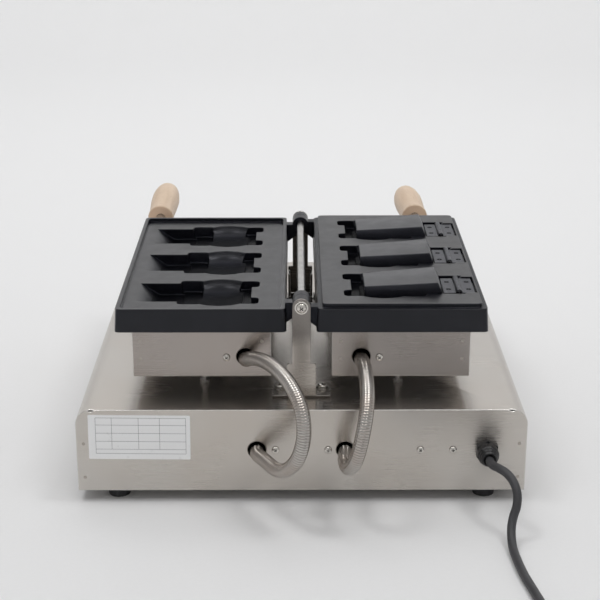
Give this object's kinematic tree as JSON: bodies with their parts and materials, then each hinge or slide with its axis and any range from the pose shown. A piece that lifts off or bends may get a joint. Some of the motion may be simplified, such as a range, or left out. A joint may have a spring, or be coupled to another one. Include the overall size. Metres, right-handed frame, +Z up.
{
  "type": "taiyaki machine",
  "caption": "Countertop electric fish-cake iron: two cast mould plates hinged on a common shaft over a stainless base, with hinged core inserts, wooden handles and a mains cord.",
  "frame": {"origin": "on the surface under the feet, at the middle of the machine's box without its free cord", "axes": "+Z up, +Y towards the rear panel with the cord, -Y towards the controls and handles, +X towards the female mould plate"},
  "size_m": [0.43, 0.8221, 0.2032],
  "materials": {
    "stainless_sheet": "stainless sheet with a fine brushed grain",
    "bright_steel": "bright turned or plated steel",
    "coated_casting": "casting with a dark satin non-stick coating",
    "beech": "turned pale beech, smooth",
    "black_plastic": "moulded black plastic",
    "black_rubber": "black rubber",
    "grey_plastic": "moulded grey housing",
    "red_lens": "translucent red plastic",
    "amber_lens": "translucent amber plastic",
    "terminal_ceramic": "pale terminal block",
    "element_sheath": "heat-tinted steel sheath"
  },
  "bodies": {
    "base": {"base_housing": "stainless_sheet", "bottom_cover": "stainless_sheet", "foot_rear_left": "black_rubber", "foot_rear_right": "black_rubber", "foot_front_left": "black_rubber", "foot_front_right": "black_rubber", "rear_post": "stainless_sheet", "rear_post_bolt_left": "bright_steel", "rear_post_bolt_right": "bright_steel", "rear_shaft_screw": "bright_steel", "front_post": "stainless_sheet", "front_post_bolt_left": "bright_steel", "front_post_bolt_right": "bright_steel", "front_shaft_screw": "bright_steel", "hinge_shaft": "bright_steel", "rest_stud_rear_left": "bright_steel", "rest_stud_rear_right": "bright_steel", "rest_stud_front_left": "bright_steel", "rest_stud_front_right": "bright_steel", "female_conduit": "stainless_sheet", "male_conduit": "stainless_sheet", "cable_gland_body": "black_plastic", "cable_gland_cap": "black_plastic", "cable_gland_locknut": "black_plastic", "thermostat_body": "grey_plastic", "timer_body": "grey_plastic", "heating_lamp": "amber_lens", "power_lamp": "red_lens", "power_switch_body": "black_plastic", "terminal_block": "terminal_ceramic", "power_cord": "black_rubber", "power_cord_coil": "black_rubber", "power_plug": "black_plastic"},
    "female_plate": {"female_mould_plate": "coated_casting", "female_heater_cover": "stainless_sheet", "female_heating_element": "element_sheath", "female_handle_rod": "bright_steel", "female_handle_grip": "beech"},
    "male_plate": {"male_mould_plate": "coated_casting", "male_heater_cover": "stainless_sheet", "male_heating_element": "element_sheath", "male_handle_rod": "bright_steel", "male_handle_grip": "beech", "plate_leaf_rear": "coated_casting", "hinge_pin_rear": "bright_steel", "plate_leaf_middle": "coated_casting", "hinge_pin_middle": "bright_steel", "plate_leaf_front": "coated_casting", "hinge_pin_front": "bright_steel"},
    "insert_rear": {"core_insert_rear": "coated_casting", "insert_leaf_rear": "coated_casting"},
    "insert_middle": {"core_insert_middle": "coated_casting", "insert_leaf_middle": "coated_casting"},
    "insert_front": {"core_insert_front": "coated_casting", "insert_leaf_front": "coated_casting"},
    "thermostat_dial": {"thermostat_knob": "black_plastic"},
    "timer_dial": {"timer_knob": "black_plastic"},
    "rocker": {"power_rocker": "red_lens"}
  },
  "joints": [
    {"name": "female_plate_hinge", "type": "hinge", "parent": "base", "child": "female_plate", "pos_m": [0, 0.02252, 0.1883], "axis": [0, -1, 0], "range_deg": [0, 180], "deforming": ["female_conduit"]},
    {"name": "male_plate_hinge", "type": "hinge", "parent": "base", "child": "male_plate", "pos_m": [0, 0.02252, 0.1883], "axis": [0, 1, 0], "range_deg": [0, 180], "deforming": ["male_conduit"]},
    {"name": "insert_rear_hinge", "type": "hinge", "parent": "male_plate", "child": "insert_rear", "pos_m": [-0.153, 0.11782, 0.1916], "axis": [0, -1, 0], "range_deg": [0, 140]},
    {"name": "insert_middle_hinge", "type": "hinge", "parent": "male_plate", "child": "insert_middle", "pos_m": [-0.153, 0.02252, 0.1916], "axis": [0, -1, 0], "range_deg": [0, 140]},
    {"name": "insert_front_hinge", "type": "hinge", "parent": "male_plate", "child": "insert_front", "pos_m": [-0.153, -0.07278, 0.1916], "axis": [0, -1, 0], "range_deg": [0, 140]},
    {"name": "thermostat_turn", "type": "hinge", "parent": "base", "child": "thermostat_dial", "pos_m": [-0.12, -0.25363, 0.054], "axis": [0, 1, 0], "range_deg": [0, 270]},
    {"name": "timer_turn", "type": "hinge", "parent": "base", "child": "timer_dial", "pos_m": [0.12, -0.25363, 0.054], "axis": [0, 1, 0], "range_deg": [0, 300]},
    {"name": "rocker_tilt", "type": "hinge", "parent": "base", "child": "rocker", "pos_m": [0, -0.25363, 0.054], "axis": [1, 0, 0], "range_deg": [-20, 0]}
  ]
}
